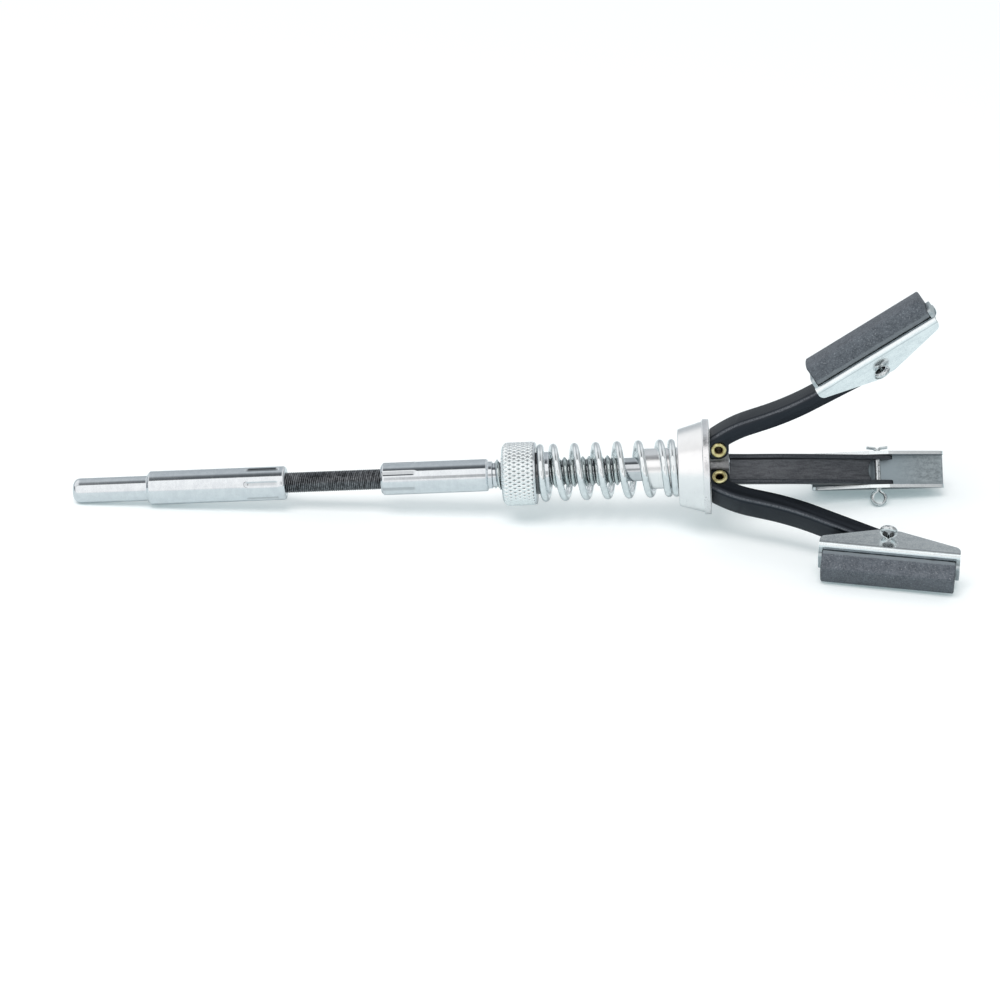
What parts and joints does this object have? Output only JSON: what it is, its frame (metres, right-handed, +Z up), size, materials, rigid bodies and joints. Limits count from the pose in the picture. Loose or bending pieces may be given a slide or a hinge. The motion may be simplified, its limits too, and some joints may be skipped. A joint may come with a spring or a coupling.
{
  "type": "cylinder hone",
  "caption": "Spring-loaded cylinder hone with pivoting stone shoes on hinged arms, a screw-adjusted spring and a flexible drive shaft for a drill.",
  "frame": {"origin": "on the tool's axis, where the drive shank meets the shoulder of its sleeve", "axes": "+X along the axis from the shank to the stones, +Z up through the top arm"},
  "size_m": [0.1821, 0.0576, 0.0541],
  "materials": {
    "zinc_plate": "bright zinc plate",
    "flex_wire": "black oiled wire",
    "cone_metal": "turned, bright",
    "spring_zinc": "bright zinc plate",
    "arm_black": "black oxide, satin",
    "rivet_yellow": "yellow zinc plate",
    "sheet_zinc": "zinc-plated sheet",
    "stone_grey": "fine abrasive, matt",
    "pin_zinc": "zinc-plated wire"
  },
  "bodies": {
    "drive_end": {"drive_shank": "zinc_plate"},
    "flex": {"flex_shaft_core": "flex_wire", "flex_shaft_winding": "flex_wire"},
    "spindle": {"spindle": "zinc_plate", "hub": "zinc_plate"},
    "cone": {"pressure_cone": "cone_metal"},
    "spring": {"spring": "spring_zinc"},
    "nut": {"adjusting_nut": "zinc_plate"},
    "top_arm": {"top_arm": "arm_black", "top_arm_rivet": "rivet_yellow"},
    "top_shoe": {"top_shoe_holder": "sheet_zinc", "top_stone": "stone_grey", "top_cotter_pin": "pin_zinc"},
    "left_arm": {"left_arm": "arm_black", "left_arm_rivet": "rivet_yellow"},
    "left_shoe": {"left_shoe_holder": "sheet_zinc", "left_stone": "stone_grey", "left_cotter_pin": "pin_zinc"},
    "right_arm": {"right_arm": "arm_black", "right_arm_rivet": "rivet_yellow"},
    "right_shoe": {"right_shoe_holder": "sheet_zinc", "right_stone": "stone_grey", "right_cotter_pin": "pin_zinc"}
  },
  "joints": [
    {"name": "flex_bend_vertical", "type": "hinge", "parent": "drive_end", "child": "flex", "pos_m": [0.034, 0, 0], "axis": [0, 1, 0], "range_deg": [-25, 25], "stiffness_Nm_per_rad": 1, "deforming": ["flex_shaft_core", "flex_shaft_winding"]},
    {"name": "flex_bend_sideways", "type": "hinge", "parent": "flex", "child": "spindle", "pos_m": [0.044, 0, 0], "axis": [0, 0, 1], "range_deg": [-25, 25], "stiffness_Nm_per_rad": 1, "deforming": ["flex_shaft_core", "flex_shaft_winding"]},
    {"name": "cone_slide", "type": "slide", "parent": "spindle", "child": "cone", "axis": [-1, 0, 0], "range_m": [0, 0.000526], "stiffness_N_per_m": 400, "springref_m": -0.02},
    {"name": "nut_travel", "type": "slide", "parent": "spindle", "child": "spring", "axis": [1, 0, 0], "range_m": [-0.0026, 0.0102], "deforming": ["spring"]},
    {"name": "nut_turn", "type": "hinge", "parent": "spring", "child": "nut", "pos_m": [0.0741, 0, 0], "axis": [1, 0, 0], "range_deg": [-720, 2880]},
    {"name": "top_arm_hinge", "type": "hinge", "parent": "spindle", "child": "top_arm", "pos_m": [0.1189, 0, 0.005], "axis": [0, 1, 0], "range_deg": [0, 26]},
    {"name": "top_shoe_hinge", "type": "hinge", "parent": "top_arm", "child": "top_shoe", "pos_m": [0.15223, 0, 0.02194], "axis": [0, -1, 0], "range_deg": [-39, 0]},
    {"name": "left_arm_hinge", "type": "hinge", "parent": "spindle", "child": "left_arm", "pos_m": [0.1189, 0.00433, -0.0025], "axis": [0, -0.5, -0.866], "range_deg": [0, 26]},
    {"name": "left_shoe_hinge", "type": "hinge", "parent": "left_arm", "child": "left_shoe", "pos_m": [0.15223, 0.019, -0.01097], "axis": [0, 0.5, 0.866], "range_deg": [-17, 22]},
    {"name": "right_arm_hinge", "type": "hinge", "parent": "spindle", "child": "right_arm", "pos_m": [0.1189, -0.00433, -0.0025], "axis": [0, -0.5, 0.866], "range_deg": [0, 26]},
    {"name": "right_shoe_hinge", "type": "hinge", "parent": "right_arm", "child": "right_shoe", "pos_m": [0.15223, -0.019, -0.01097], "axis": [0, 0.5, -0.866], "range_deg": [-17, 22]}
  ],
  "couplings": [
    {"joint": "nut_travel", "follows": "nut_turn", "m_per_rad": 0.00020213},
    {"joint": "top_arm_hinge", "follows": "cone_slide", "rad_per_m": 862.07},
    {"joint": "left_arm_hinge", "follows": "cone_slide", "rad_per_m": 862.07},
    {"joint": "right_arm_hinge", "follows": "cone_slide", "rad_per_m": 862.07}
  ]
}
